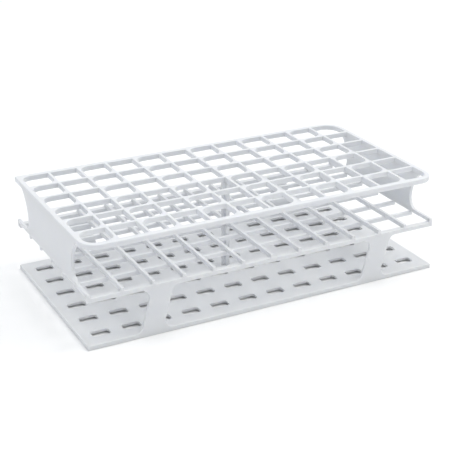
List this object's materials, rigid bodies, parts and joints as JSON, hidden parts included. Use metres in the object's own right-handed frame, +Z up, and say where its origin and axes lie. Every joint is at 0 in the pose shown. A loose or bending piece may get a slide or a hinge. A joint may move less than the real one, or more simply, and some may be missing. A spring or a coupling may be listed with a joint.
{
  "type": "test tube rack",
  "caption": "Three-tier moulded plastic test tube rack: open top and middle grids on end walls, legs and a central post, over a slotted base.",
  "frame": {"origin": "on the surface the rack stands on, under the middle of the rack", "axes": "+X along the long side, the columns of places; +Y from the front to the rear; +Z up"},
  "size_m": [0.2424, 0.1236, 0.0654],
  "materials": {
    "white_moulding": "white polypropylene, as moulded, satin"
  },
  "bodies": {
    "root": {"base_front_rail": "white_moulding", "base_rear_rail": "white_moulding", "base_left_rail": "white_moulding", "base_right_rail": "white_moulding", "base_slats": "white_moulding", "base_bridges": "white_moulding", "front_left_leg": "white_moulding", "front_right_leg": "white_moulding", "rear_left_leg": "white_moulding", "rear_right_leg": "white_moulding", "lower_center_post": "white_moulding", "upper_center_post": "white_moulding", "middle_front_rail": "white_moulding", "middle_rear_rail": "white_moulding", "middle_row_ribs": "white_moulding", "middle_column_ribs": "white_moulding", "middle_left_lip": "white_moulding", "middle_right_lip": "white_moulding", "left_end_wall": "white_moulding", "right_end_wall": "white_moulding", "top_front_rail": "white_moulding", "top_rear_rail": "white_moulding", "top_left_rail": "white_moulding", "top_right_rail": "white_moulding", "top_corners": "white_moulding", "top_column_ribs": "white_moulding", "top_row_ribs": "white_moulding"}
  },
  "joints": []
}
